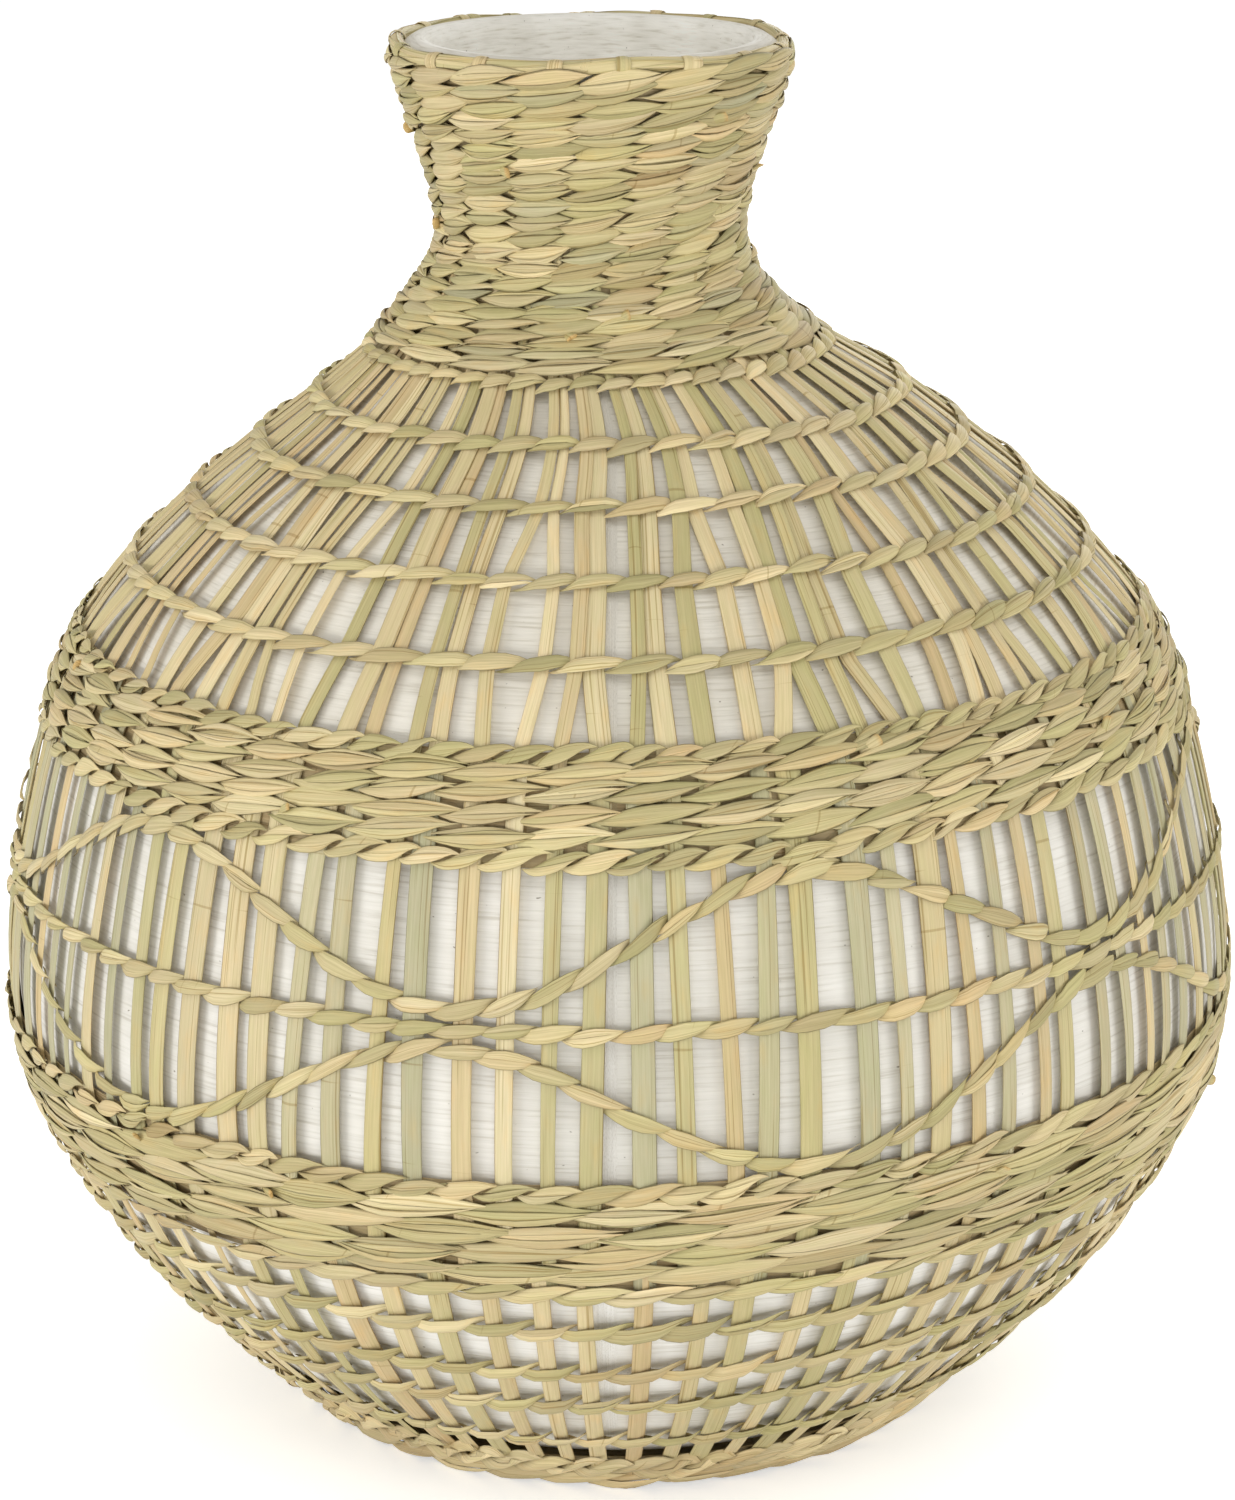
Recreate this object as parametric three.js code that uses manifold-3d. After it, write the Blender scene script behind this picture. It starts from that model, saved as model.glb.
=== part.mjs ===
// A round-bellied vase: a hollow clay vessel in a jacket of twined seagrass.
// Millimetres, +Z up. The woven base stands on z = 0 and the belly's axis is the Z axis.
// Angles are measured from the front (-Y) towards +X.

import * as THREE from 'three';
import { mergeVertices } from 'three/addons/utils/BufferGeometryUtils.js';
import Module from 'manifold-3d';

// Outer surface of the weave: its height, and the radius at each station with its share of the height
const jacketHeight = 348;
const footRadius = 88;
const flankShare = 0.115;
const flankRadius = 127.8;
const lowerBellyShare = 0.23;
const lowerBellyRadius = 153;
const bellyShare = 0.322;
const bellyRadius = 161;
const upperBellyShare = 0.46;
const upperBellyRadius = 155.5;
const shoulderShare = 0.589;
const shoulderRadius = 140.5;
const slopeShare = 0.684;
const slopeRadius = 112;
const collarShare = 0.764;
const collarRadius = 77.5;
const throatShare = 0.822;
const throatRadius = 51;
const neckShare = 0.874;
const neckRadius = 39.8;
const mouthRadius = 50.5;

// The hand-woven neck stands a little off the belly's axis
const neckLean = -6.8;
const leanStartBelowThroat = 24;
const leanSpan = 30;

// Clay vessel
const vesselWall = 6;
const vesselBaseRadius = 66;
const vesselCornerReach = 34;
const lipDrop = 2;

// Layers of the jacket, outside in
const rowThickness = 2.9;
const bladeThickness = 1.1;
const clearance = 0.3;

// Upright blades: each group has four at the belly, three at the foot and two at the collar
const bladeGroups = 24;
const bladeButtWidth = 6;
const bladeTipWidth = 4.2;
const tieHeight = 8;
const tieThickness = 0.6;

// Twined rows and bands, measured along the weave's surface
const rowHeight = 4.2;
const baseRowHeight = 6.4;
const lowerBandBelowBelly = 31.5;
const lowerBandAboveBelly = 0.5;
const shoulderBandBelow = 20;
const shoulderBandAbove = 8;
const neckBandBelowThroat = 6.5;

// Where the open rows lie in the zone that they share, from its lower edge to its upper one
const footRowShares = [0.24, 0.51, 0.67, 0.86];
const shoulderRowShares = [0.225, 0.435, 0.645, 0.82];
const middleRowShare = 0.495;

// Two waves cross the belly; their waves are a little longer at the front than at the back
const waveCount = 6;
const waveCrestAngle = 16.8;
const waveStretch = 0.24;

// Woven base
const baseThickness = 4.8;

// Rim: a hoop of bundled blades with a blade wound round it
const hoopThickness = 4.4;
const hoopDepth = 2.6;
const lashTurns = 20;
const lashWidth = 4;
const lashThickness = 0.8;

// Facets
const sides = 40;
const waveSides = 60;
const lashStepsPerTurn = 8;
const hoopCorners = 6;
const cornerSteps = 3;
const spanSteps = [1, 1, 1, 2, 2, 1, 1, 1, 1, 2];

// Depths below the outer surface of the weave, from the layers
const bladeTop = rowThickness + clearance;
const bladeBack = bladeTop + bladeThickness;
const vesselDepth = bladeBack + clearance;

const wasm = await Module();
wasm.setup();

const degrees = THREE.MathUtils.degToRad;

// Stations of the outer surface, from the foot to the mouth, as [share of the height, radius]
const stations = [
  [0, footRadius],
  [flankShare, flankRadius],
  [lowerBellyShare, lowerBellyRadius],
  [bellyShare, bellyRadius],
  [upperBellyShare, upperBellyRadius],
  [shoulderShare, shoulderRadius],
  [slopeShare, slopeRadius],
  [collarShare, collarRadius],
  [throatShare, throatRadius],
  [neckShare, neckRadius],
  [1, mouthRadius],
];

// The smooth outline through the stations, as points (radius, height)
function outlineThrough(places) {
  const corners = places.map(([share, radius]) => new THREE.Vector3(radius, share * jacketHeight, 0));
  const curve = new THREE.CatmullRomCurve3(corners, false, 'centripetal');
  const points = [corners[0]];
  const stationIndex = [0];
  spanSteps.forEach((steps, span) => {
    for (let step = 1; step <= steps; step++) {
      points.push(curve.getPoint((span + step / steps) / spanSteps.length));
    }
    stationIndex.push(points.length - 1);
  });
  return { points, stationIndex };
}

const { points: outline, stationIndex } = outlineThrough(stations);

// Distance along the outline from the foot, and the outward normal, at each of its points
const alongAt = [0];
for (let i = 1; i < outline.length; i++) {
  alongAt.push(alongAt[i - 1] + outline[i].distanceTo(outline[i - 1]));
}
const normalAt = outline.map((point, i) => {
  const before = outline[Math.max(i - 1, 0)];
  const after = outline[Math.min(i + 1, outline.length - 1)];
  const tangent = after.clone().sub(before).normalize();
  return new THREE.Vector3(tangent.y, -tangent.x, 0);
});

const [, , , bellyAlong, , shoulderAlong, , , throatAlong, , mouthAlong] =
  stationIndex.map((index) => alongAt[index]);

// A point of the weave's cross-section: so far along the outline and so deep under it
function skin(along, depth) {
  let i = 0;
  while (i < outline.length - 2 && along > alongAt[i + 1]) {
    i++;
  }
  const share = (along - alongAt[i]) / (alongAt[i + 1] - alongAt[i]);
  const low = outline[i].clone().addScaledVector(normalAt[i], -depth);
  const high = outline[i + 1].clone().addScaledVector(normalAt[i + 1], -depth);
  low.lerp(high, share);
  return { radius: low.x, height: low.y };
}

// Sideways shift of the neck at a height
function leanAt(height) {
  const start = skin(throatAlong, 0).height - leanStartBelowThroat;
  return neckLean * THREE.MathUtils.smoothstep(height, start, start + leanSpan);
}

// A point in space from an angle, a radius and a height
function place(angle, radius, height) {
  return new THREE.Vector3(
    radius * Math.sin(angle) + leanAt(height), -radius * Math.cos(angle), height);
}

// Distances along the outline between two limits, with every outline point on the way
function alongSteps(start, end) {
  return [start, ...alongAt.filter((along) => along > start && along < end), end];
}

// A solid of revolution from a profile of { radius, height }, moved with the leaning neck
function revolve(profile, outside) {
  const grow = outside ? 1 / Math.cos(Math.PI / sides) : 1;
  const turned = profile.map(({ radius, height }) => new THREE.Vector2(radius * grow, height));
  const geometry = new THREE.LatheGeometry(turned, sides);
  geometry.rotateX(Math.PI / 2);
  const positions = geometry.getAttribute('position');
  for (let i = 0; i < positions.count; i++) {
    positions.setX(i, positions.getX(i) + leanAt(positions.getZ(i)));
  }
  return weld(geometry);
}

// Shared vertices merged, with only their positions kept
function weld(geometry) {
  geometry.deleteAttribute('normal');
  geometry.deleteAttribute('uv');
  return mergeVertices(geometry, 1e-4);
}

// A closed solid through a row of outlines that have as many points each
function loft(outlines, isLoop) {
  const count = outlines[0].length;
  const faces = [];
  const spans = isLoop ? outlines.length : outlines.length - 1;
  for (let row = 0; row < spans; row++) {
    const here = row * count;
    const next = ((row + 1) % outlines.length) * count;
    for (let i = 0; i < count; i++) {
      const j = (i + 1) % count;
      faces.push(here + i, here + j, next + j);
      faces.push(here + i, next + j, next + i);
    }
  }
  if (!isLoop) {
    const end = (outlines.length - 1) * count;
    for (let i = 1; i < count - 1; i++) {
      faces.push(0, i + 1, i);
      faces.push(end, end + i, end + i + 1);
    }
  }
  const geometry = new THREE.BufferGeometry().setFromPoints(outlines.flat());
  geometry.setIndex(faces);
  return geometry;
}

// One solid joined from several that overlap
function join(geometries) {
  const solids = geometries.map((geometry) => new wasm.Manifold(new wasm.Mesh({
    numProp: 3,
    vertProperties: new Float32Array(geometry.getAttribute('position').array),
    triVerts: new Uint32Array(geometry.getIndex().array),
  })));
  const mesh = solids.reduce((whole, solid) => whole.add(solid)).getMesh();
  const geometry = new THREE.BufferGeometry();
  geometry.setAttribute('position', new THREE.BufferAttribute(mesh.vertProperties, 3));
  geometry.setIndex(new THREE.BufferAttribute(mesh.triVerts, 1));
  return geometry;
}

// Rounded lower corner of the vessel, from its flat base to the side wall
function vesselCorner(depth, floor) {
  const wall = skin(vesselCornerReach, depth);
  const above = skin(vesselCornerReach + vesselWall, depth);
  const slope = (above.radius - wall.radius) / (above.height - wall.height);
  const bend = new THREE.Vector2(wall.radius - slope * (wall.height - floor), floor);
  const curve = new THREE.QuadraticBezierCurve(
    new THREE.Vector2(vesselBaseRadius, floor), bend, new THREE.Vector2(wall.radius, wall.height));
  return curve.getPoints(cornerSteps).map((point) => ({ radius: point.x, height: point.y }));
}

// Hollow clay vessel, open at the mouth
function vesselGeometry() {
  const floor = baseThickness + clearance;
  const innerFloor = floor + vesselWall;
  const steps = alongSteps(vesselCornerReach, mouthAlong - lipDrop);
  const outer = steps.slice(1).map((along) => skin(along, vesselDepth));
  const inner = steps.slice(1).map((along) => skin(along, vesselDepth + vesselWall));
  return revolve([
    { radius: 0, height: floor },
    ...vesselCorner(vesselDepth, floor),
    ...outer,
    ...inner.reverse(),
    ...vesselCorner(vesselDepth + vesselWall, innerFloor).reverse(),
    { radius: 0, height: innerFloor },
  ], false);
}

// Woven base disc inside its lowest edge row and the lower ends of the blades
function baseGeometry() {
  const rowCorner = skin(baseRows[0] - baseRowHeight / 2, rowThickness);
  const radius = Math.min(rowCorner.radius, skin(0, bladeBack).radius) - clearance;
  return revolve([
    { radius: 0, height: 0 },
    { radius, height: 0 },
    { radius, height: baseThickness },
    { radius: 0, height: baseThickness },
  ], false);
}

// A band of close twined rows between two distances along the outline
function bandGeometry(start, end) {
  const steps = alongSteps(start, end);
  const outer = steps.map((along) => skin(along, 0));
  const inner = steps.map((along) => skin(along, rowThickness)).reverse();
  return revolve([...outer, ...inner, outer[0]], true);
}

// One twined row as a ring whose place along the outline may change with the angle
function rowGeometry(alongFor, height, count) {
  const grow = 1 / Math.cos(Math.PI / count);
  const outlines = [];
  for (let i = 0; i < count; i++) {
    const angle = (2 * Math.PI * i) / count;
    const along = alongFor(angle);
    const corners = [
      skin(along + height / 2, rowThickness),
      skin(along, 0),
      skin(along - height / 2, rowThickness),
    ];
    outlines.push(corners.map((corner) => place(angle, corner.radius * grow, corner.height)));
  }
  return loft(outlines, true);
}

// Zones of the jacket, as distances along the outline
const lowerBand = [bellyAlong - lowerBandBelowBelly, bellyAlong + lowerBandAboveBelly];
const shoulderBand = [shoulderAlong - shoulderBandBelow, shoulderAlong + shoulderBandAbove];
const neckBand = [throatAlong - neckBandBelowThroat, mouthAlong];
const footFlare = -normalAt[0].y / normalAt[0].x;
const lowestBaseRow = Math.max(baseRowHeight / 2 - rowThickness * footFlare, 0) + clearance;
const baseRows = [lowestBaseRow, lowestBaseRow + baseRowHeight + clearance];
const footZone = [baseRows[1] + baseRowHeight / 2, lowerBand[0]];
const collarRow = neckBand[0] - clearance - rowHeight / 2;
const shoulderZone = [shoulderBand[1], collarRow];
const inZone = (zone, share) => zone[0] + share * (zone[1] - zone[0]);
const footRows = footRowShares.map((share) => inZone(footZone, share));
const shoulderRows = shoulderRowShares.map((share) => inZone(shoulderZone, share));
const middleRow = inZone([lowerBand[1], shoulderBand[0]], middleRowShare);

// A wave between the middle row and a band: it touches the band at the crest angle
function waveAlong(bandEdge) {
  const reach = rowHeight / 2 + clearance;
  const towardsBand = Math.sign(bandEdge - middleRow);
  const atBand = bandEdge - towardsBand * reach;
  const atRow = middleRow + towardsBand * (reach + rowHeight / 2);
  const phase = (angle) => waveCount * angle - waveStretch * Math.sin(angle);
  const start = phase(degrees(waveCrestAngle));
  return (angle) => {
    const swing = Math.cos(phase(angle) - start);
    return (atBand + atRow) / 2 + ((atBand - atRow) / 2) * swing;
  };
}

// Sideways place of a blade in its group, as a share of the group's angle, along its length
function lanes(foot, belly, shoulder, collar, neck) {
  return [
    [lowerBand[0], foot],
    [lowerBand[1], belly],
    [shoulderBand[0], belly],
    [shoulderBand[1], shoulder],
    [shoulderRows[1], shoulder],
    [shoulderRows[2], collar],
    [neckBand[0], collar],
    [(neckBand[0] + neckBand[1]) / 2, neck],
  ];
}

function laneAt(keys, along) {
  if (along <= keys[0][0]) {
    return keys[0][1];
  }
  for (let i = 1; i < keys.length; i++) {
    const [start, from] = keys[i - 1];
    const [end, to] = keys[i];
    if (along <= end) {
      return THREE.MathUtils.mapLinear(along, start, end, from, to);
    }
  }
  return keys[keys.length - 1][1];
}

// One flat blade with a low ridge, from one distance along the outline to another
function bladeGeometry(groupAngle, keys, start, end) {
  const groupPitch = (2 * Math.PI) / bladeGroups;
  const outlines = alongSteps(start, end).map((along) => {
    const angle = groupAngle + laneAt(keys, along) * groupPitch;
    const half = THREE.MathUtils.lerp(bladeButtWidth, bladeTipWidth, along / mouthAlong) / 2;
    const back = skin(along, bladeBack);
    const ridge = skin(along, bladeTop);
    const sideways = new THREE.Vector3(Math.cos(angle), Math.sin(angle), 0);
    const centre = place(angle, back.radius, back.height);
    return [
      centre.clone().addScaledVector(sideways, -half),
      place(angle, ridge.radius, ridge.height),
      centre.clone().addScaledVector(sideways, half),
    ];
  });
  return loft(outlines, false);
}

// Strip that ties a group's blades together, hidden under the lower band
function tieGeometry(groupAngle) {
  const middle = (lowerBand[0] + lowerBand[1]) / 2;
  const back = bladeBack - (bladeThickness - tieThickness) / 2;
  const front = back - tieThickness;
  const groupPitch = (2 * Math.PI) / bladeGroups;
  const outlines = [];
  for (let share = -3; share <= 3; share += 2) {
    const angle = groupAngle + (share / 8) * groupPitch;
    const corners = [
      skin(middle + tieHeight / 2, back),
      skin(middle + tieHeight / 2, front),
      skin(middle - tieHeight / 2, front),
      skin(middle - tieHeight / 2, back),
    ];
    outlines.push(corners.map((corner) => place(angle, corner.radius, corner.height)));
  }
  return loft(outlines, false);
}

// A group of four blades: one to the rim, one to the collar, one to a shoulder row, one at the belly
function groupGeometry(index) {
  const angle = (2 * Math.PI * (index + 0.5)) / bladeGroups;
  const toRim = lanes(-1 / 3, -3 / 8, -1 / 3, -1 / 4, 0);
  const toCollar = lanes(1 / 3, 3 / 8, 1 / 3, 1 / 4, 1 / 4);
  const toShoulder = lanes(0, -1 / 8, 0, 0, 0);
  const atBelly = lanes(1 / 8, 1 / 8, 1 / 8, 1 / 8, 1 / 8);
  return join([
    tieGeometry(angle),
    bladeGeometry(angle, toRim, 0, mouthAlong - lipDrop),
    bladeGeometry(angle, toCollar, 0, neckBand[0] + rowHeight),
    bladeGeometry(angle, toShoulder, 0, shoulderRows[2] + rowHeight / 2),
    bladeGeometry(angle, atBelly, (lowerBand[0] + lowerBand[1]) / 2, shoulderBand[0] + rowHeight),
  ]);
}

// Centre of the rim hoop's section, so that its lashing clears the neck band below it
const lashInner = hoopThickness / 2 / Math.cos(Math.PI / lashStepsPerTurn) + clearance;
const lashOuter = lashInner + lashThickness;
const hoopCentre = skin(mouthAlong + clearance + lashOuter, hoopDepth);

function hoopGeometry() {
  const profile = [];
  for (let i = 0; i <= hoopCorners; i++) {
    const turn = (2 * Math.PI * i) / hoopCorners;
    profile.push({
      radius: hoopCentre.radius + (hoopThickness / 2) * Math.cos(turn),
      height: hoopCentre.height + (hoopThickness / 2) * Math.sin(turn),
    });
  }
  return revolve(profile, false);
}

// Blade wound round the hoop in one unbroken loop
function lashingGeometry() {
  const steps = lashTurns * lashStepsPerTurn;
  const halfAngle = lashWidth / 2 / hoopCentre.radius;
  const centres = [];
  const outlines = [];
  for (let i = 0; i < steps; i++) {
    const angle = (2 * Math.PI * i) / steps;
    const turn = (2 * Math.PI * i) / lashStepsPerTurn;
    const corner = (reach, side) => place(
      angle + side * halfAngle,
      hoopCentre.radius + reach * Math.cos(turn),
      hoopCentre.height + reach * Math.sin(turn));
    centres.push(corner((lashInner + lashOuter) / 2, 0));
    outlines.push([
      corner(lashInner, -1),
      corner(lashOuter, -1),
      corner(lashOuter, 1),
      corner(lashInner, 1),
    ]);
  }
  reportLeastGap('rim lashing', centres, lashStepsPerTurn, lashWidth);
  return loft(outlines, true);
}

// Least gap of a winding to itself, measured between its centre points on different turns
function reportLeastGap(name, centres, stepsPerTurn, width) {
  let least = Infinity;
  for (let i = 0; i < centres.length; i++) {
    for (let j = i + stepsPerTurn / 2; j < centres.length - stepsPerTurn / 2; j++) {
      least = Math.min(least, centres[i].distanceTo(centres[j]));
    }
  }
  console.log(`${name}: least gap to itself ${(least - width).toFixed(2)} mm`);
}

const finish = {
  clay: { color: '#dcd8d0', roughness: 0.9 },
  base: { color: '#c3b587', roughness: 0.8 },
  blade: { color: '#cfc298', roughness: 0.65 },
  row: { color: '#c6ba8b', roughness: 0.65 },
  band: { color: '#bfb384', roughness: 0.7 },
  rim: { color: '#cdbf93', roughness: 0.65 },
  lashing: { color: '#e0d3ac', roughness: 0.6 },
};

const vase = new THREE.Group();

function addPart(name, geometry, look) {
  const mesh = new THREE.Mesh(geometry, new THREE.MeshStandardMaterial({ ...look, metalness: 0 }));
  mesh.name = name;
  vase.add(mesh);
}

const level = (along) => () => along;
const numbered = (name, index) => `${name}_${String(index + 1).padStart(2, '0')}`;

addPart('vessel', vesselGeometry(), finish.clay);
addPart('base_disc', baseGeometry(), finish.base);
baseRows.forEach((along, i) => {
  addPart(numbered('base_edge_row', i), rowGeometry(level(along), baseRowHeight, sides), finish.base);
});
for (let i = 0; i < bladeGroups; i++) {
  addPart(numbered('blade_group', i), groupGeometry(i), finish.blade);
}
footRows.forEach((along, i) => {
  addPart(numbered('foot_row', i), rowGeometry(level(along), rowHeight, sides), finish.row);
});
addPart('lower_band', bandGeometry(...lowerBand), finish.band);
addPart('lower_wave', rowGeometry(waveAlong(lowerBand[1]), rowHeight, waveSides), finish.row);
addPart('middle_row', rowGeometry(level(middleRow), rowHeight, sides), finish.row);
addPart('upper_wave', rowGeometry(waveAlong(shoulderBand[0]), rowHeight, waveSides), finish.row);
addPart('shoulder_band', bandGeometry(...shoulderBand), finish.band);
shoulderRows.forEach((along, i) => {
  addPart(numbered('shoulder_row', i), rowGeometry(level(along), rowHeight, sides), finish.row);
});
addPart('collar_row', rowGeometry(level(collarRow), rowHeight, sides), finish.row);
addPart('neck_band', bandGeometry(...neckBand), finish.band);
addPart('rim_hoop', hoopGeometry(), finish.rim);
addPart('rim_lashing', lashingGeometry(), finish.lashing);

export default vase;
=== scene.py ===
"""Looks of the seagrass vase: a whitewashed clay vessel in a jacket of twined seagrass blades.

Lengths are millimetres until a mesh is made. Angles run from the front (-Y) towards +X.
A place on the jacket is an angle, a distance along the outline from the foot, and a depth that is
negative inwards.
"""

import math

import bpy
import numpy as np
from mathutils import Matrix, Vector


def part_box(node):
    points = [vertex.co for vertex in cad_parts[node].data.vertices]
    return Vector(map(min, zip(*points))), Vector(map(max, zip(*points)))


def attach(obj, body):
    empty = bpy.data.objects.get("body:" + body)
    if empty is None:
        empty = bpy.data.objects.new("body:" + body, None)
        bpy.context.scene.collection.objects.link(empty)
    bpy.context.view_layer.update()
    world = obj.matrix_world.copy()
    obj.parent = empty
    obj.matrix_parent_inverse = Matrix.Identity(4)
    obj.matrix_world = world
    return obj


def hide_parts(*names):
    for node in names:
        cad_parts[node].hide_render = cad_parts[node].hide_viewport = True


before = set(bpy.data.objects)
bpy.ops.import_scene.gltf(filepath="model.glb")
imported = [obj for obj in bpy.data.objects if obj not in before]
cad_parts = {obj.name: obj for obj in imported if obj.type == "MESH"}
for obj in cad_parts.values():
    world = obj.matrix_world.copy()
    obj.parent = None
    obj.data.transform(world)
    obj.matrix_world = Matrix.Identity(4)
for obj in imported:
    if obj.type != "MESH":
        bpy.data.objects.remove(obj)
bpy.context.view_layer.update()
rng = np.random.default_rng(616)
MM = 0.001

# Outer surface of the weave: height and radius at each station
STATIONS = np.array([
    [0, 88], [40, 127.8], [80, 153], [112, 161], [160, 155.5], [205, 140.5],
    [238, 112], [266, 77.5], [286, 51], [304, 39.8], [348, 50.5],
])
NECK_LEAN = -6.8
LEAN_FROM, LEAN_TO = 262, 292

# Depths of the layers
STITCH_BEHIND = -3.1
BAND_STITCH_ENDS = -2.0
BLADE_DEPTH = -2.0
BAND_BACK = -2.7
CLAY_DEPTH = -4.1

# The clay: its wall and floor, the radius that it stands on, where its lower corner ends along the outline,
# and how far its lip rises past the jacket
CLAY_WALL = 6.5
CLAY_FLOOR = 6
CLAY_FOOT_RADIUS = 66
CLAY_CORNER = 58
CLAY_LIP = 2.6
CLAY_LIP_CROWN = 1.2

# The lowest points of the jacket's side, and the sole
SIDE_LOWEST = 0.15
SOLE_LOWEST = 0.05
SOLE_HEIGHT = 0.1

# The rows were not twined quite level: they are higher on the right
ROW_TILT = 0.0167

# The upper base edge row alone is higher on the left
BASE_DROOP = 1.6
BASE_WANDER = 0.5

# Blades round the vase at the foot and at the belly, the groups that the shoulder rows take them in,
# half the distance between the middles of a pair there, and the sectors that the blades are kept in
FOOT_BLADES = 76
BELLY_BLADES = 96
SHOULDER_GROUPS = 64
COLLAR_GROUPS = 48
PAIR_GAPS = 1.7, 2.3
COLLAR_GAPS = 1.3, 1.9
SECTORS = 24

# Waves across the belly
WAVES = 6
WAVE_CREST = math.radians(16.8)
WAVE_STRETCH = 0.24


def srgb(red, green, blue):
    c = np.array([red, green, blue]) / 255
    return np.where(c <= 0.04045, c / 12.92, ((c + 0.055) / 1.055) ** 2.4)


def smoothstep(low, high, x):
    t = np.clip((x - low) / (high - low), 0, 1)
    return t * t * (3 - 2 * t)


# The outline and the weave's surface

def catmull_rom(points, steps):
    """Centripetal curve through points."""
    ends = [2 * points[0] - points[1], *points, 2 * points[-1] - points[-2]]
    t = np.linspace(0, 1, steps, endpoint=False)[:, None]
    spans = []
    for p0, p1, p2, p3 in zip(ends, ends[1:], ends[2:], ends[3:]):
        d0, d1, d2 = (math.sqrt(np.linalg.norm(b - a)) for a, b in ((p0, p1), (p1, p2), (p2, p3)))
        m1 = ((p1 - p0) / d0 - (p2 - p0) / (d0 + d1) + (p2 - p1) / d1) * d1
        m2 = ((p2 - p1) / d1 - (p3 - p1) / (d1 + d2) + (p3 - p2) / d2) * d1
        spans.append(
            (2 * t**3 - 3 * t**2 + 1) * p1 + (t**3 - 2 * t**2 + t) * m1
            + (3 * t**2 - 2 * t**3) * p2 + (t**3 - t**2) * m2)
    return np.concatenate([*spans, points[-1:]])


OUTLINE = catmull_rom(STATIONS, 24)
STEPS = np.linalg.norm(np.diff(OUTLINE, axis=0), axis=1)
ALONG = np.concatenate([[0], np.cumsum(STEPS)])
TANGENT = np.gradient(OUTLINE, ALONG, axis=0)
TANGENT /= np.linalg.norm(TANGENT, axis=1)[:, None]
MOUTH = ALONG[-1]


def along_at(height):
    return np.interp(height, OUTLINE[:, 0], ALONG)


def radius_at(along):
    return np.interp(along, ALONG, OUTLINE[:, 1])


def lean(height):
    return NECK_LEAN * smoothstep(LEAN_FROM, LEAN_TO, height)


def place(angle, radius, height):
    angle, radius, height = np.broadcast_arrays(angle, radius, height)
    return np.stack([radius * np.sin(angle) + lean(height), -radius * np.cos(angle), height], -1)


def profile_point(along, depth):
    inside = np.clip(along, 0, MOUTH)
    rise = np.interp(inside, ALONG, TANGENT[:, 0])
    spread = np.interp(inside, ALONG, TANGENT[:, 1])
    height = np.interp(inside, ALONG, OUTLINE[:, 0]) + (along - inside) * rise - depth * spread
    radius = np.interp(inside, ALONG, OUTLINE[:, 1]) + (along - inside) * spread + depth * rise
    return radius, height


def jacket(angle, along, depth):
    """A point on the jacket's side."""
    radius, height = profile_point(along, depth)
    return place(angle, radius, np.maximum(height, SIDE_LOWEST))


def underside(angle, reach, depth):
    """A point under the base, where the distance along is the distance from the axis."""
    return place(angle, reach, np.maximum(SOLE_HEIGHT - depth, SOLE_LOWEST))


def full_turn(sides):
    return np.linspace(0, 2 * np.pi, sides + 1)[:-1]


# Strips of seagrass

def fibre_of(across, along, strip):
    """Fibre coordinates: across a strip, along it, and a number that tells it from the others."""
    return np.stack(np.broadcast_arrays(across, along, strip), -1)


class Weave:
    """Strips of one piece, each a grid of closed cross-sections, with a tint and fibre coordinates."""

    def __init__(self):
        self.points, self.faces, self.tints, self.fibres = [], [], [], []
        self.count = 0

    def add(self, grid, tint, fibre, loop=False):
        rows, ring = grid.shape[:2]
        index = self.count + np.arange(rows * ring).reshape(rows, ring)
        here = index if loop else index[:-1]
        there = np.roll(index, -1, 0) if loop else index[1:]
        sides = np.stack([here, there, np.roll(there, -1, 1), np.roll(here, -1, 1)], -1)
        self.faces.append(sides.reshape(-1, 4))
        if not loop:
            for k in range(ring // 2 - 1):
                corners = [k, k + 1, ring - 2 - k, ring - 1 - k]
                self.faces.append(index[:1, corners])
                self.faces.append(index[-1:, corners[::-1]])
        self.points.append(grid.reshape(-1, 3))
        self.tints.append(np.broadcast_to(tint, grid.shape).reshape(-1, 3))
        self.fibres.append(fibre.reshape(-1, 3))
        self.count += rows * ring

    def piece(self, name, material, slot, *nodes):
        mesh = bpy.data.meshes.new(name)
        mesh.from_pydata(np.concatenate(self.points) * MM, [], np.concatenate(self.faces))
        tint = np.concatenate(self.tints)
        tint = np.concatenate([tint, np.ones((len(tint), 1))], 1)
        mesh.attributes.new("tint", "FLOAT_COLOR", "POINT").data.foreach_set("color", tint.ravel())
        fibre = np.concatenate(self.fibres)
        mesh.attributes.new("fibre", "FLOAT_VECTOR", "POINT").data.foreach_set("vector", fibre.ravel())
        mesh.shade_smooth()
        mesh.materials.append(material)
        obj = bpy.data.objects.new(name, mesh)
        bpy.context.scene.collection.objects.link(obj)
        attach(obj, "root")
        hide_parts(*nodes)


STRAW = srgb(213, 195, 151)
GREEN = srgb(190, 179, 129)
TAN = srgb(207, 184, 139)
PALE = srgb(228, 211, 169)
BROWN = srgb(184, 158, 110)
SAGE = srgb(182, 176, 142)
RAW_END = srgb(206, 174, 116)
KINDS = np.array([STRAW, GREEN, TAN, PALE, BROWN, SAGE])

# The first kind's share of a mix, and how far a tint may be lighter or darker
FIRST_KIND = 0.75
TINT_SPREAD = 0.05


def pick_tint(shares):
    """A seagrass colour: a mix of two kinds, each drawn by the shares of the kinds."""
    first, second = rng.choice(len(KINDS), 2, p=shares)
    mix = KINDS[first] * FIRST_KIND + KINDS[second] * (1 - FIRST_KIND)
    return mix * (1 + rng.uniform(-TINT_SPREAD, TINT_SPREAD))


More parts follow.
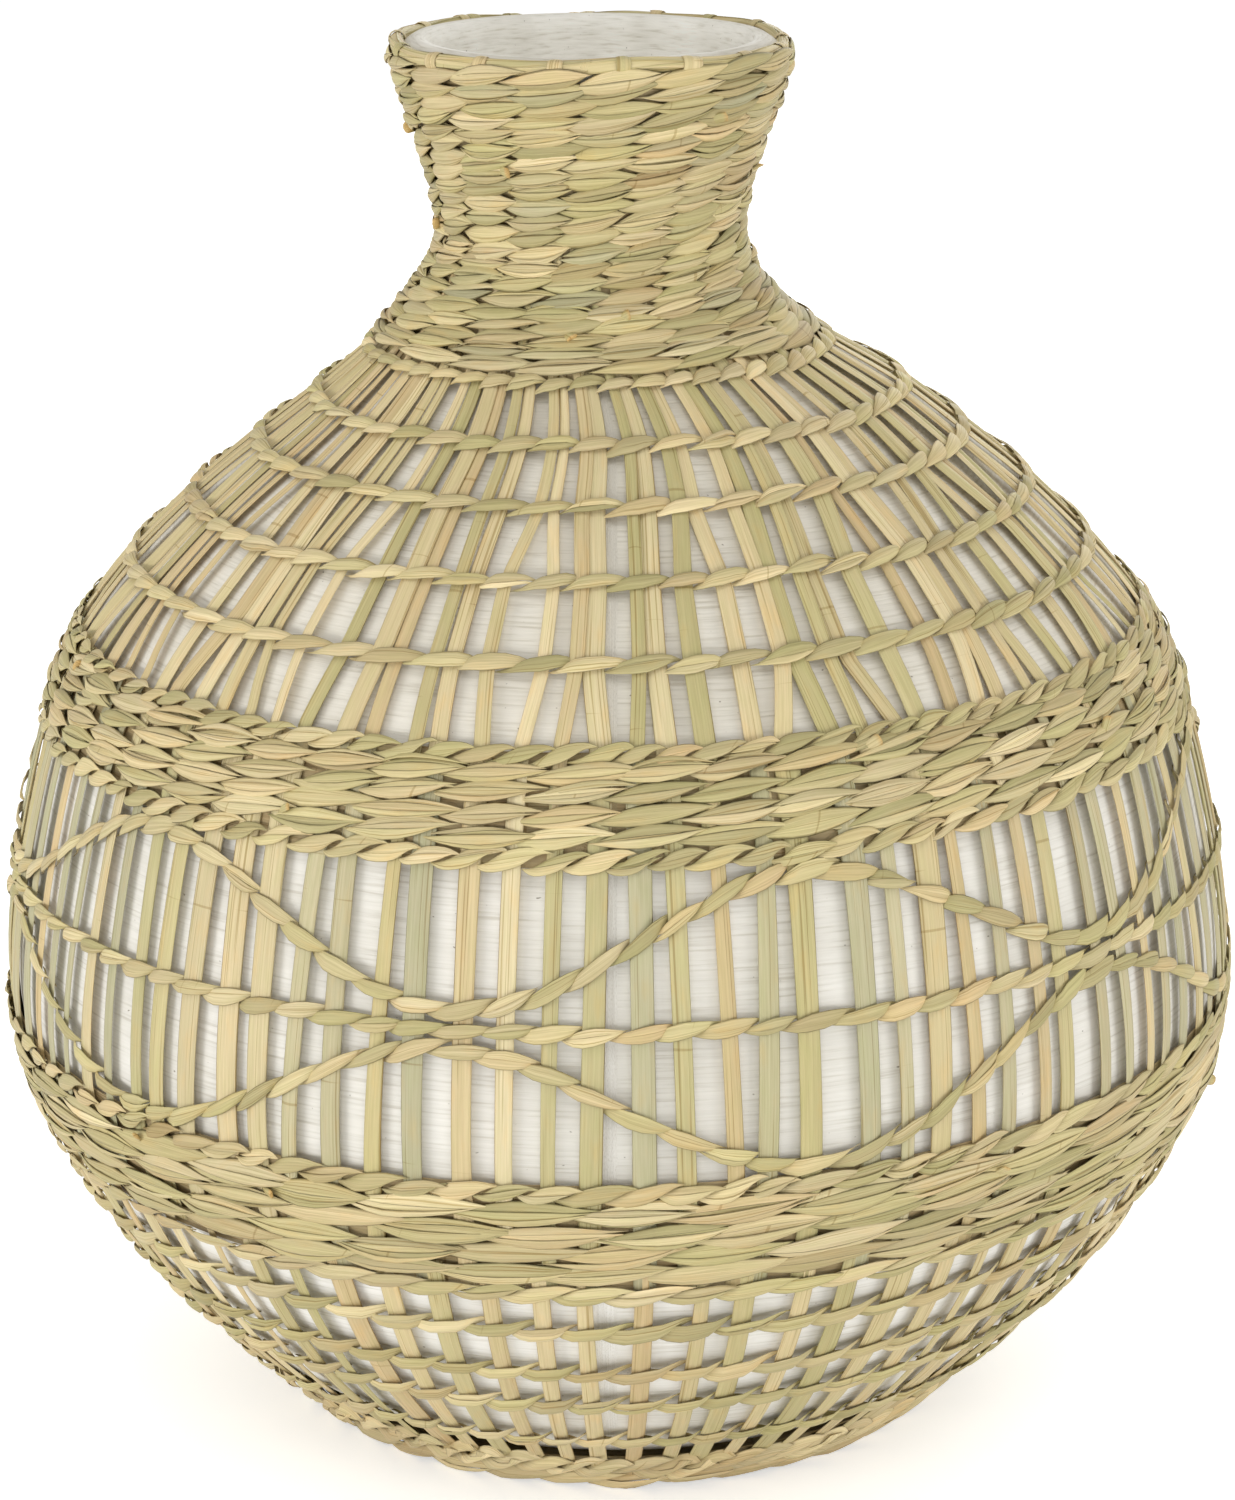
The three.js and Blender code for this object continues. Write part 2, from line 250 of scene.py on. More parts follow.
# Shares of straw, green, tan, pale, brown and sage
BLADE_SHARES = [0.40, 0.27, 0.22, 0.10, 0.01, 0]
BELLY_SHARES = [0.25, 0.14, 0.13, 0.06, 0, 0.42]
ROW_SHARES = [0.29, 0.42, 0.10, 0.18, 0.01, 0]
BAND_SHARES = [0.28, 0.50, 0.10, 0.11, 0.01, 0]
NECK_SHARES = [0.28, 0.42, 0.10, 0.11, 0.01, 0.08]
BASE_SHARES = [0.40, 0.05, 0.23, 0.32, 0, 0]
WRAP_SHARES = [0.5, 0.15, 0.2, 0.15, 0, 0]

# A strip's cross-section: from one edge over the front to the other, and the middle of its back
ACROSS = np.array([-1, -0.88, -0.45, 0, 0.45, 0.88, 1, 0])
BEHIND = np.array([0, 0, 0, 0, 0, 0, 0, 1])
EDGES = [-1, -0.88, 0.88, 1]
STRIP_NUMBERS = 0, 100
ALONG_STITCH = np.array([0, 0.07, 0.15, 0.24, 0.36, 0.5, 0.64, 0.76, 0.85, 0.93, 1])[:, None]

# Shapes of a stitch. Rise, bow and slant are shares of its height.
# rise: half its rise from the left end to the right one
# bow, slant: how far it bows upwards, and how far its ends slant
# full, open: its outline, from 1 for a rhombus to 2 for a lens, and the share of its length that this spans
# splits: how often it is of one, two, three and four strips
# base, lift: the depth of its ends, and how much higher it lies over the blade
# comes, goes: the shares of its length over which it comes up and goes down
# bulge, crown, flat: how round it is as a whole, the crown of a strip, and how much of that strip is flat
# roll: its turn to face up
OPEN_STITCH = dict(
    rise=0.36, bow=-0.03, slant=0.12, full=2.0, open=0.86, splits=(0.8, 0.2, 0, 0),
    base=STITCH_BEHIND, lift=2.4, comes=(0.08, 0.38), goes=(0.66, 0.94),
    bulge=0.2, crown=0.4, flat=0.88, roll=0.0)
FOOT_STITCH = {
    **OPEN_STITCH, "rise": 0.4, "full": 2.4, "open": 1.0,
    "lift": 2.5, "comes": (0.04, 0.36), "goes": (0.6, 0.94), "roll": -0.1}
EDGE_STITCH = dict(
    rise=0.28, bow=-0.02, slant=0.34, full=2.6, open=1.0, splits=(0.5, 0.4, 0.1, 0),
    base=BAND_STITCH_ENDS, lift=1.5, comes=(0.0, 0.42), goes=(0.84, 1.15),
    bulge=0.3, crown=0.3, flat=0.88, roll=0.0)
LONG_STITCH = dict(
    rise=0.2, bow=0.0, slant=0.16, full=1.7, open=1.0, splits=(0.06, 0.3, 0.4, 0.24),
    base=BAND_STITCH_ENDS, lift=1.6, comes=(0.0, 0.44), goes=(0.74, 1.1),
    bulge=0.7, crown=0.3, flat=0.75, roll=-0.05)
NECK_STITCH = dict(
    rise=0.2, bow=0.04, slant=0.1, full=1.8, open=1.0, splits=(0.2, 0.4, 0.3, 0.1),
    base=BAND_STITCH_ENDS, lift=1.7, comes=(-0.06, 0.38), goes=(0.76, 1.12),
    bulge=1.1, crown=0.3, flat=0.7, roll=-0.16)
BASE_STITCH = {**EDGE_STITCH, "rise": 0.34, "lift": 1.7, "bulge": 0.9, "crown": 0.45, "roll": -0.2}
DISC_STITCH = {**NECK_STITCH, "base": -2.2, "lift": 1.4}

# Strips of a stitch: how far they lap, how far one lies above the next, their thickness, the painted shade
# on their edges, the range of their own tones and how often one has its strand's colour
STRIP_LAP = 0.12
STRIP_STEP = 0.35
STRIP_THICK = 0.4
STRIP_EDGE_SHADE = 0.68
STRIP_TONES = 0.8, 1.1
SAME_COLOUR = 0.45

# How far stitches differ from one another
STITCH_SIZES = 0.85, 1.15
RISE_SIZES = 0.7, 1.3
CUT_SPREAD = 0.22
PLACE_SPREAD = 0.05
BOW_SPREAD = 0.04
ROLL_SPREAD = 0.06
FAN_SPREAD = 0.07
SKEW_SPREAD = 0.1
LATEST = 0.13
LEAF_TIP = 0.04


def stitch(weave, surface, centre, left, here, right, height, shares, colour, form):
    """A stitch over a blade: a flat leaf of one or more strips, low on the left and high on the right."""
    strips = 1 + rng.choice(len(form["splits"]), p=form["splits"])
    cuts = np.linspace(-1, 1, strips + 1)[1:-1] + rng.uniform(-CUT_SPREAD, CUT_SPREAD, strips - 1)
    edges = np.concatenate([[-1], np.sort(cuts), [1]])
    steps = rng.permutation(strips) * STRIP_STEP
    apart = strips > 1
    radius = np.hypot(*surface(here, centre(here), 0.0)[:2])
    height = height * rng.uniform(*STITCH_SIZES)
    shift = rng.normal(0, PLACE_SPREAD) * height
    rise = form["rise"] * height * rng.uniform(*RISE_SIZES)
    bow = (form["bow"] + rng.normal(0, BOW_SPREAD)) * height
    roll = form["roll"] + rng.normal(0, ROLL_SPREAD)
    for low, high, step in zip(edges, edges[1:], steps):
        low, high = max(low - STRIP_LAP * apart, -1), min(high + STRIP_LAP * apart, 1)
        fan = rng.normal(0, FAN_SPREAD) * height * apart
        skew = rng.normal(0, SKEW_SPREAD)
        late, early = rng.uniform(0, LATEST, 2) * apart
        t = late + (1 - late - early) * ALONG_STITCH
        way = 2 * ALONG_STITCH - 1
        skewed = (way + skew * (1 - way**2)) / form["open"]
        leaf = np.maximum(1 - np.abs(skewed) ** form["full"], LEAF_TIP)
        part = np.interp(ACROSS, EDGES, [-1, -form["flat"], form["flat"], 1])
        across = (low + high) / 2 + (high - low) / 2 * part
        angle = np.interp(t, [0, 0.5, 1], [left, here, right]) + form["slant"] * height * across / radius
        up = shift + (rise + fan) * (2 * t - 1) + bow * (1 - way**2) + height / 2 * across * leaf
        over = smoothstep(*form["comes"], t) * (1 - smoothstep(*form["goes"], t))
        arch = form["crown"] * (0.45 + 0.55 * (high - low) / 2) * (1 - part**2) * (0.4 + 0.6 * over)
        facing = roll * across * height / 2 * leaf - form["bulge"] * across**2 * leaf
        depth = form["base"] + form["lift"] * over + step * leaf + arch + facing - STRIP_THICK * BEHIND
        fibre = fibre_of(across * height / 2, t * (right - left) * radius, rng.uniform(*STRIP_NUMBERS))
        tint = colour if rng.uniform() < SAME_COLOUR else 0.4 * colour + 0.6 * pick_tint(shares)
        # Each strip's edges are darkened as painted shade between strips
        tint = tint * rng.uniform(*STRIP_TONES) * np.where(np.abs(ACROSS) == 1, STRIP_EDGE_SHADE, 1)[:, None]
        weave.add(surface(angle, centre(angle) + up, depth), tint, fibre)


def cut_end(weave, centre, angle, length, thick, out):
    """An end of a strand, cut off in front of the weave."""
    t = np.array([0, 0.4, 0.75, 0.97, 1])[:, None]
    heading = rng.normal(0.3, 0.5)
    turn = np.radians(np.arange(-90, 270, 45))[None, :]
    size = thick * np.array([0.7, 1, 1, 1, 0.8])[:, None]
    ahead = length * t * math.cos(heading) - size * np.sin(turn) * math.sin(heading)
    up = length * t * math.sin(heading) + size * np.sin(turn) * math.cos(heading)
    depth = BLADE_DEPTH + out * t + 0.6 * size * np.cos(turn)
    spot = angle + ahead / radius_at(centre(angle))
    colour = pick_tint(BAND_SHARES)
    tint = np.where(t[:, :, None] < 0.9, colour, RAW_END) + 0 * up[:, :, None]
    fibre = fibre_of(size * np.sin(turn), length * t, rng.uniform(*STRIP_NUMBERS))
    weave.add(jacket(spot, centre(spot) + up, depth), tint, fibre)


def strand_colours(count, shares, run):
    """Colours of a row's stitches: two strands by turns, each pieced from blades a few stitches long."""
    colours = [None] * count
    for strand in (0, 1):
        left = 0
        for i in range(strand, count, 2):
            if left == 0:
                colour = pick_tint(shares)
                left = rng.integers(*run)
            colours[i] = colour * rng.uniform(0.96, 1.04)
            left -= 1
    return colours


def twined_row(weave, surface, centre, stakes, height, form, shares=ROW_SHARES, run=(3, 9), overlap=0.5):
    """A row of stitches, one over each stake.

    With an overlap of 0.5, a stitch goes from behind one neighbour to behind the other.
    """
    colours = strand_colours(len(stakes), shares, run)
    turn = 2 * np.pi
    ring = np.concatenate([[stakes[-1] - turn], stakes, [stakes[0] + turn]])
    for before, here, after, colour in zip(ring, ring[1:], ring[2:], colours):
        left = here + (before - here) * (0.5 + overlap)
        right = here + (after - here) * (0.5 + overlap)
        stitch(weave, surface, centre, left, here, right, height, shares, colour, form)


def level(along):
    """A row's course at a distance along the outline."""
    tilt = ROW_TILT * radius_at(along) / np.interp(along, ALONG, TANGENT[:, 0])
    return lambda angle: along + tilt * np.sin(angle)


def flat(along):
    """A course without tilt, as beside the floor."""
    return lambda angle: along + 0 * angle


def drooping(along):
    """A course that is higher on the left and wanders."""
    return lambda angle: along - BASE_DROOP * np.sin(angle) + BASE_WANDER * np.sin(5 * angle)


def ring_of(count, jitter, offset=0.5):
    return 2 * np.pi * (np.arange(count) + offset + rng.uniform(-jitter, jitter, count)) / count


def row_along(node):
    """Where a CAD row lies along the outline."""
    low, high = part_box(node)
    return along_at((low.z + high.z) / 2 / MM)


def band_along(node):
    low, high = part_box(node)
    return along_at(low.z / MM), min(along_at(high.z / MM), MOUTH)


# Blades

# A blade: the distance between its cross-sections, its thickness, its groove, and the stain on an edge
BLADE_STEP = 5.5
BLADE_THICK = 0.45
BLADE_SIZES = 0.7, 1.3
GROOVE = 0.3
GROOVED = 0.4
STAINED = 0.3
STAIN = np.array([0.62, 0.5, 0.36])


def blade(weave, lane, start, end, widths, depth, shares=BLADE_SHARES):
    """An upright blade on its lane, with its width at keyed distances along."""
    count = max(int((end - start) / BLADE_STEP), 8)
    along = np.linspace(start, end, count)[:, None]
    width = np.interp(along, [w[0] for w in widths], [w[1] for w in widths])
    half = width / 2 * rng.uniform(*BLADE_SIZES)
    half = half * (1 + rng.normal(0, 0.08) * np.linspace(-1, 1, count)[:, None])
    half = half * (1 + 0.05 * np.sin(along / rng.uniform(18, 40) + rng.uniform(0, 6)))
    roll = rng.normal(0, 0.07) + rng.normal(0, 0.05) * np.sin(along / 30 + rng.uniform(0, 6))
    crown = rng.uniform(0.3, 0.7)
    power = rng.uniform(1.8, 3.5)
    groove = rng.choice([0, GROOVE], p=[1 - GROOVED, GROOVED])
    groove_at = rng.uniform(-0.4, 0.4)
    across = -ACROSS
    arch = crown * (1 - np.abs(across) ** power) - groove * np.exp(-((across - groove_at) / 0.16) ** 2)
    thick = depth + arch * (1 - BEHIND) - BLADE_THICK * BEHIND + roll * across * half
    angle = lane(along) + half * across / radius_at(along)
    fibre = fibre_of(across * half, along, rng.uniform(*STRIP_NUMBERS))
    tint = np.broadcast_to(pick_tint(shares), (count, len(ACROSS), 3)).copy()
    if rng.uniform() < STAINED:
        tint[:, rng.choice([0, 6])] *= STAIN
    weave.add(jacket(angle, along + 0 * across, thick), tint, fibre)


foot_rows = [row_along(f"foot_row_{i:02d}") for i in range(1, 5)]
shoulder_rows = [row_along(f"shoulder_row_{i:02d}") for i in range(1, 5)]
base_rows = [row_along(f"base_edge_row_{i:02d}") for i in (1, 2)]
collar_row = row_along("collar_row")
middle_row = row_along("middle_row")
lower_band = band_along("lower_band")
shoulder_band = band_along("shoulder_band")
neck_band = band_along("neck_band")

# Angles of the blades at the levels where they change course
foot_low, foot_high = ring_of(FOOT_BLADES, 0.10), ring_of(FOOT_BLADES, 0.16)
belly_low, belly_high = ring_of(BELLY_BLADES, 0.28), ring_of(BELLY_BLADES, 0.24)
shoulder_groups = ring_of(SHOULDER_GROUPS, 0.14)
collar_groups = ring_of(COLLAR_GROUPS, 0.12)


def shoulder_lanes():
    """Under the two lower shoulder rows, which take one blade and two blades by turns."""
    lanes = []
    for triple in range(BELLY_BLADES // 3):
        first, second = shoulder_groups[2 * triple:2 * triple + 2]
        apart = rng.uniform(*PAIR_GAPS) / radius_at(shoulder_rows[0])
        if triple % 2:
            lanes += [first, second - apart, second + apart]
        else:
            lanes += [first - apart, first + apart, second]
    return np.array(lanes)


def collar_lanes():
    """Under the upper shoulder rows, which take the blades in twos."""
    apart = rng.uniform(*COLLAR_GAPS, COLLAR_GROUPS) / radius_at(shoulder_rows[3])
    return np.stack([collar_groups - apart, collar_groups + apart], 1).ravel()


def through(levels, angles):
    """Lanes that run straight from level to level."""
    return [lambda along, lane=lane: np.interp(along, levels, lane) for lane in np.stack(angles, 1)]


foot_lanes = through([0, lower_band[0]], [foot_low, foot_high])
belly_lanes = through([lower_band[0], shoulder_band[1]], [belly_low, belly_high])
under_rows, under_collar = shoulder_lanes(), collar_lanes()
upper_lanes = through(
    [shoulder_band[1], shoulder_rows[0], shoulder_rows[1], shoulder_rows[2]],
    [belly_high, under_rows, under_rows, under_collar])


def stakes_on(lanes, centre):
    """Angles at which a row's path crosses the lanes."""
    return np.array([lane(centre(lane(centre(lane(middle_row))))) for lane in lanes])


sectors = [Weave() for _ in range(SECTORS)]


def sector_of(angle):
    return sectors[int(angle / (2 * np.pi) * SECTORS) % SECTORS]


# Widths of the blades at distances along the outline
foot_widths = [(0, 4.6), (foot_rows[3], 4.7)]
belly_widths = [(lower_band[0], 4.7), (shoulder_band[1], 4.6)]
shoulder_widths = [
    (shoulder_band[0], 4.7), (shoulder_rows[0], 4.5), (shoulder_rows[2], 4.1), (collar_row, 3.5)]
TOP_WIDTH = 3.2

# Where the blades start and end behind the bands
FOOT_START = 1.5
foot_end = lower_band[0] + 8
belly_start = lower_band[0] + 2
belly_end = shoulder_band[1] - 3
shoulder_start = shoulder_band[0] + 6

# Every second shoulder blade runs far up behind the neck band. The others end early and lie deeper.
LONG_TOP = 34
SHORT_TOP = 6
TUCKED_DEPTH = BLADE_DEPTH - 0.5

for lane in foot_lanes:
    blade(sector_of(lane(0)), lane, FOOT_START, foot_end, foot_widths, BLADE_DEPTH)
for lane in belly_lanes:
    sector = sector_of(lane(middle_row))
    blade(sector, lane, belly_start, belly_end, belly_widths, BLADE_DEPTH, BELLY_SHARES)
for i, lane in enumerate(upper_lanes):
    rise, depth = (SHORT_TOP, TUCKED_DEPTH) if i % 2 else (LONG_TOP, BLADE_DEPTH)
    top = neck_band[0] + rise
    widths = [*shoulder_widths, (top, TOP_WIDTH)]
    blade(sector_of(lane(shoulder_band[1])), lane, shoulder_start, top, widths, depth)


# Materials

# Colour sockets of a mix node
MIX_A, MIX_B = 6, 7
MIX_RESULT = 2


def grey(value):
    return value, value, value


WHITE = grey(1)


def nodes_of(name):
    material = bpy.data.materials.new(name)
    material.use_nodes = True
    tree = material.node_tree
    return material, tree, tree.nodes["Principled BSDF"]


def link(tree, source, output, target, socket):
    tree.links.new(source.outputs[output], target.inputs[socket])


def attribute(tree, name):
    node = tree.nodes.new("ShaderNodeAttribute")
    node.attribute_name = name
    return node


def stretched_noise(tree, coordinates, scale, detail=3.0):
    """Noise on the fibre coordinates, with its own scale across, along and by strip."""
    stretch = tree.nodes.new("ShaderNodeVectorMath")
    stretch.operation = "MULTIPLY"
    stretch.inputs[1].default_value = scale
    link(tree, coordinates, "Vector", stretch, 0)
    noise = tree.nodes.new("ShaderNodeTexNoise")
    noise.inputs["Scale"].default_value = 1.0
    noise.inputs["Detail"].default_value = detail
    link(tree, stretch, "Vector", noise, "Vector")
    return noise


def ramp(tree, source, stops):
    node = tree.nodes.new("ShaderNodeValToRGB")
    link(tree, source, "Fac", node, "Fac")
    elements = node.color_ramp.elements
    for element, (position, colour) in zip(elements, (stops[0], stops[-1])):
        element.position = position
        element.color = (*colour, 1)
    for position, colour in stops[1:-1]:
        elements.new(position).color = (*colour, 1)
    return node


def layered(tree, tint, *tones):
    """The tint, multiplied by each tone in turn."""
    colour = tint.outputs["Color"]
    for tone in tones:
        node = tree.nodes.new("ShaderNodeMix")
        node.data_type = "RGBA"
        node.blend_type = "MULTIPLY"
        node.inputs["Factor"].default_value = 1.0
        tree.links.new(colour, node.inputs[MIX_A])
        tree.links.new(tone.outputs["Color"], node.inputs[MIX_B])
        colour = node.outputs[MIX_RESULT]
    return colour


def roughen(tree, shader, noise, strength, distance):
    bump = tree.nodes.new("ShaderNodeBump")
    bump.inputs["Strength"].default_value = strength
    bump.inputs["Distance"].default_value = distance
    link(tree, noise, "Fac", bump, "Height")
    link(tree, bump, "Normal", shader, "Normal")


def seagrass(name, roughness, dark, light):
    """Dry blade: a tint per strip, streaked along its fibres."""
    material, tree, shader = nodes_of(name)
    tint = attribute(tree, "tint")
    fibre = attribute(tree, "fibre")
    streaks = stretched_noise(tree, fibre, (2.6, 0.05, 1.0))
    lines = stretched_noise(tree, fibre, (2.4, 0.012, 1.7), 1.0)
    patches = stretched_noise(tree, fibre, (0.35, 0.09, 0.9), 2.0)
    nodes = stretched_noise(tree, fibre, (0.05, 0.7, 2.3), 0.0)
    streak_tone = ramp(tree, streaks, [(0.3, dark), (0.7, light)])
    line_tone = ramp(tree, lines, [(0.33, (0.70, 0.63, 0.50)), (0.37, WHITE), (0.8, grey(1.02))])
    patch_tone = ramp(tree, patches, [(0.3, (0.96, 0.99, 0.93)), (0.55, WHITE), (0.75, (1.05, 0.98, 0.88))])
    node_tone = ramp(tree, nodes, [(0.165, (0.78, 0.72, 0.62)), (0.195, WHITE), (1, WHITE)])
    colour = layered(tree, tint, streak_tone, line_tone, patch_tone, node_tone)
    tree.links.new(colour, shader.inputs["Base Color"])
    shader.inputs["Roughness"].default_value = roughness
    shader.inputs["Specular IOR Level"].default_value = 0.35
    roughen(tree, shader, streaks, 0.35, 0.0004)
    return material


def whitewash():
    """Matt whitewash: level brush hairs, cloudy patches and small dark specks."""
    material, tree, shader = nodes_of("whitewash")
    tint = attribute(tree, "tint")
    fibre = attribute(tree, "fibre")
    hairs = stretched_noise(tree, fibre, (1.3, 0.05, 1.0), 4.0)
    clouds = stretched_noise(tree, fibre, (0.06, 0.02, 1.0), 3.0)
    specks = stretched_noise(tree, fibre, (0.8, 0.55, 1.0), 1.0)
    hair_tone = ramp(
        tree, hairs, [(0.30, (0.80, 0.78, 0.74)), (0.44, (0.96, 0.96, 0.95)), (0.6, grey(1.02))])
    cloud_tone = ramp(tree, clouds, [(0.3, (0.90, 0.89, 0.87)), (0.65, grey(1.03))])
    speck_tone = ramp(tree, specks, [(0.19, (0.42, 0.39, 0.35)), (0.24, WHITE), (1, WHITE)])
    colour = layered(tree, tint, hair_tone, cloud_tone, speck_tone)
    tree.links.new(colour, shader.inputs["Base Color"])
    shader.inputs["Roughness"].default_value = 0.9
    shader.inputs["Specular IOR Level"].default_value = 0.2
    roughen(tree, shader, hairs, 0.4, 0.0005)
    return material


dry_blade = seagrass("dry_blade", 0.55, (0.88, 0.86, 0.81), grey(1.06))
dry_strand = seagrass("dry_strand", 0.6, (0.81, 0.79, 0.72), grey(1.11))
lime_wash = whitewash()

for number, weave in enumerate(sectors, 1):
    weave.piece(f"blades_{number:02d}", dry_blade, "seagrass_blade", f"blade_group_{number:02d}")


# Open rows

# Heights of their stitches, and how far the foot rows slipped down on the slanting blades
FOOT_ROW_HEIGHT = 4.9
SHOULDER_ROW_HEIGHT = 4.4
LEVEL_ROW_HEIGHT = 4.2
WAVE_HEIGHT = 4.6
FOOT_SLIPS = 1.6, 3.0, 2.8, 2.2

# How far the waves keep from the band and from the middle row
WAVE_OFF_BAND = 2.4
WAVE_OFF_ROW = 4.5


def make_row(node, centre, stakes, height, form=OPEN_STITCH):
    weave = Weave()
    twined_row(weave, jacket, centre, stakes, height, form)
    weave.piece(f"{node}_twined", dry_strand, "seagrass_row", node)


def wave_between(band_edge, towards):
    """A wave from beside the middle row to the band, which it touches at the crest angle."""
    at_band = level(band_edge - towards * WAVE_OFF_BAND)
    at_row = level(middle_row + towards * WAVE_OFF_ROW)
    start = WAVES * WAVE_CREST - WAVE_STRETCH * math.sin(WAVE_CREST)

    def centre(angle):
        swing = np.cos(WAVES * angle - WAVE_STRETCH * np.sin(angle) - start)
        return at_band(angle) * (1 + swing) / 2 + at_row(angle) * (1 - swing) / 2

    return centre


for i, (along, slip) in enumerate(zip(foot_rows, FOOT_SLIPS), 1):
    centre = level(along - slip)
    make_row(f"foot_row_{i:02d}", centre, stakes_on(foot_lanes, centre), FOOT_ROW_HEIGHT, FOOT_STITCH)
for i, along in enumerate(shoulder_rows, 1):
    stakes = shoulder_groups if i < 3 else collar_groups
    make_row(f"shoulder_row_{i:02d}", level(along), stakes, SHOULDER_ROW_HEIGHT)
make_row("collar_row", level(collar_row), collar_groups, LEVEL_ROW_HEIGHT)
make_row("middle_row", level(middle_row), stakes_on(belly_lanes, level(middle_row)), LEVEL_ROW_HEIGHT)
for node, centre in (
    ("lower_wave", wave_between(lower_band[1], -1)),
    ("upper_wave", wave_between(shoulder_band[0], 1)),
):
    make_row(node, centre, stakes_on(belly_lanes, centre), WAVE_HEIGHT)


# Close-twined bands

# Long stitches round each band, and the rows of the neck
LOWER_STITCHES = 39
SHOULDER_STITCHES = 47
NECK_STITCHES = 18
NECK_ROWS = 21

# For how many stitches a blade lasts in a close row, and how far the stitches lap
CLOSE_RUN = 1, 4
BAND_OVERLAP = 0.28
BASE_OVERLAP = 0.32

# The sleeve behind a band: its mesh, its thickness and how far it stays inside the band's edges
SLEEVE_ROWS = 14
SLEEVE_SIDES = 96
SLEEVE_THICK = 0.4
SLEEVE_INSET = 0.5

# Cut ends: their places in a band's height, their lengths, half their thickness and how far they stand out
END_PLACES = 0.15, 0.85
END_LENGTHS = 3, 5
END_SIZES = 0.9, 1.6
END_REACHES = 2.4, 3.2


def sleeve(weave, start, end, depth, tint):
    """The strands that run behind a band's stitches, in a tint that its callers darken as painted shade."""
    along = np.linspace(start, end, SLEEVE_ROWS)
    angle = full_turn(SLEEVE_SIDES)
    ring = np.concatenate([along, along[::-1]])
    depths = np.repeat([depth, depth - SLEEVE_THICK], SLEEVE_ROWS)
    slope = (level(start)(angle) - start)[:, None]
    grid = jacket(angle[:, None], ring[None, :] + slope, depths[None, :])
    weave.add(grid, tint, fibre_of(ring[None, :], angle[:, None] * 150, 5.0), loop=True)


def make_band(node, rows, ends, shares=BAND_SHARES, back=BAND_BACK, sleeve_painted_shade=0.7):
    """A band from rows of (share of its height, stakes, stitch height, shape), with some cut ends."""
    start, end = band_along(node)
    weave = Weave()
    # The sleeve's tan is darkened as painted shade in the gaps between stitches
    sleeve(weave, start + SLEEVE_INSET, end - SLEEVE_INSET, back, TAN * sleeve_painted_shade)
    for share, stakes, height, form in rows:
        centre = level(start + share * (end - start))
        twined_row(weave, jacket, centre, stakes, height, form, shares, CLOSE_RUN, BAND_OVERLAP)
    for angle in ring_of(ends, 0.4):
        centre = level(start + rng.uniform(*END_PLACES) * (end - start))
        sizes = [rng.uniform(*span) for span in (END_LENGTHS, END_SIZES, END_REACHES)]
        cut_end(weave, centre, angle, *sizes)
    weave.piece(f"{node}_twined", dry_strand, "seagrass_band", node)


make_band("lower_band", [
    (0.035, stakes_on(foot_lanes, level(lower_band[0])), 5.6, EDGE_STITCH),
    *((share, ring_of(LOWER_STITCHES, 0.12, rng.uniform()), 7.4, LONG_STITCH)
      for share in (0.23, 0.41, 0.59, 0.77)),
    (0.94, stakes_on(belly_lanes, level(lower_band[1])), 5.2, EDGE_STITCH),
], ends=9)
make_band("shoulder_band", [
    (0.08, stakes_on(belly_lanes, level(shoulder_band[0])), 5.2, EDGE_STITCH),
    *((share, ring_of(SHOULDER_STITCHES, 0.1, 0.2 + 0.4 * share), 6.1, LONG_STITCH)
      for share in (0.26, 0.44, 0.62, 0.79)),
    (0.94, stakes_on(belly_lanes, level(shoulder_band[1])), 4.9, EDGE_STITCH),
], ends=8)
make_band("neck_band", [
    ((k + 0.8) / (NECK_ROWS - 0.5), ring_of(NECK_STITCHES, 0.1, 0.5 + 0.05 * k + rng.normal(0, 0.08)), 5.9,
     {**NECK_STITCH, "rise": 0.13 + 0.006 * k, "bow": 0.1 - 0.009 * k})
    for k in range(NECK_ROWS)
], ends=13, shares=NECK_SHARES, back=-2.5, sleeve_painted_shade=0.75)


# Base

# Half the height of the strands behind an edge row
BASE_BACK = 2.4

# The disc: its innermost ring, the spacing of the rings, the height and length of a stitch, the margin at
# its edge, and the underside, inset and sides of its core
DISC_FIRST = 6.5
DISC_STEP = 6.2
DISC_ROW_HEIGHT = 7.6
DISC_STITCH_LENGTH = 11
DISC_MARGIN = 2
CORE_LOW = 2.2
CORE_INSET = 0.3
CORE_SIDES = 64


def make_disc():
    """The sole: rings of stitches under a plain core."""
    weave = Weave()
    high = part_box("base_disc")[1]
    edge = high.x / MM
    for reach in np.arange(DISC_FIRST, edge - DISC_MARGIN, DISC_STEP):
        count = 2 * max(int(np.pi * reach / DISC_STITCH_LENGTH), 3)
        stakes = ring_of(count, 0.08, rng.uniform(0, 1))
        twined_row(weave, underside, flat(reach), stakes, DISC_ROW_HEIGHT, DISC_STITCH,
                   BAND_SHARES, CLOSE_RUN, BAND_OVERLAP)
    angle = full_turn(CORE_SIDES)[:, None]
    ring = np.array([edge - CORE_INSET, 0.5, 0.5, edge - CORE_INSET])[None, :]
    heights = np.array([CORE_LOW, CORE_LOW, high.z / MM, high.z / MM])[None, :]
    core = place(angle, ring, heights)
    weave.add(core[:, ::-1], TAN * 0.6, fibre_of(ring, angle * 50, 3.0), loop=True)
    weave.piece("base_disc_twined", dry_strand, "seagrass_base", "base_disc")


base_stakes = stakes_on(foot_lanes, flat(base_rows[1]))

# Each edge row: its course, its place a little above its solid's middle, its stakes and its stitch height
for node, course, along, stakes, height in (
    ("base_edge_row_01", flat, base_rows[0] + 0.9, base_stakes[::2], 8.4),
    ("base_edge_row_02", drooping, base_rows[1] + 3.6, base_stakes, 10.6),
):
    weave = Weave()
    twined_row(weave, jacket, course(along), stakes, height, BASE_STITCH,
               BASE_SHARES, CLOSE_RUN, BASE_OVERLAP)
    # The strands behind the row, their tan halved as painted shade in the gaps
    sleeve(weave, along - BASE_BACK, along + BASE_BACK, BAND_BACK, TAN * 0.5)
    weave.piece(f"{node}_twined", dry_strand, "seagrass_base", node)
make_disc()


# Rim

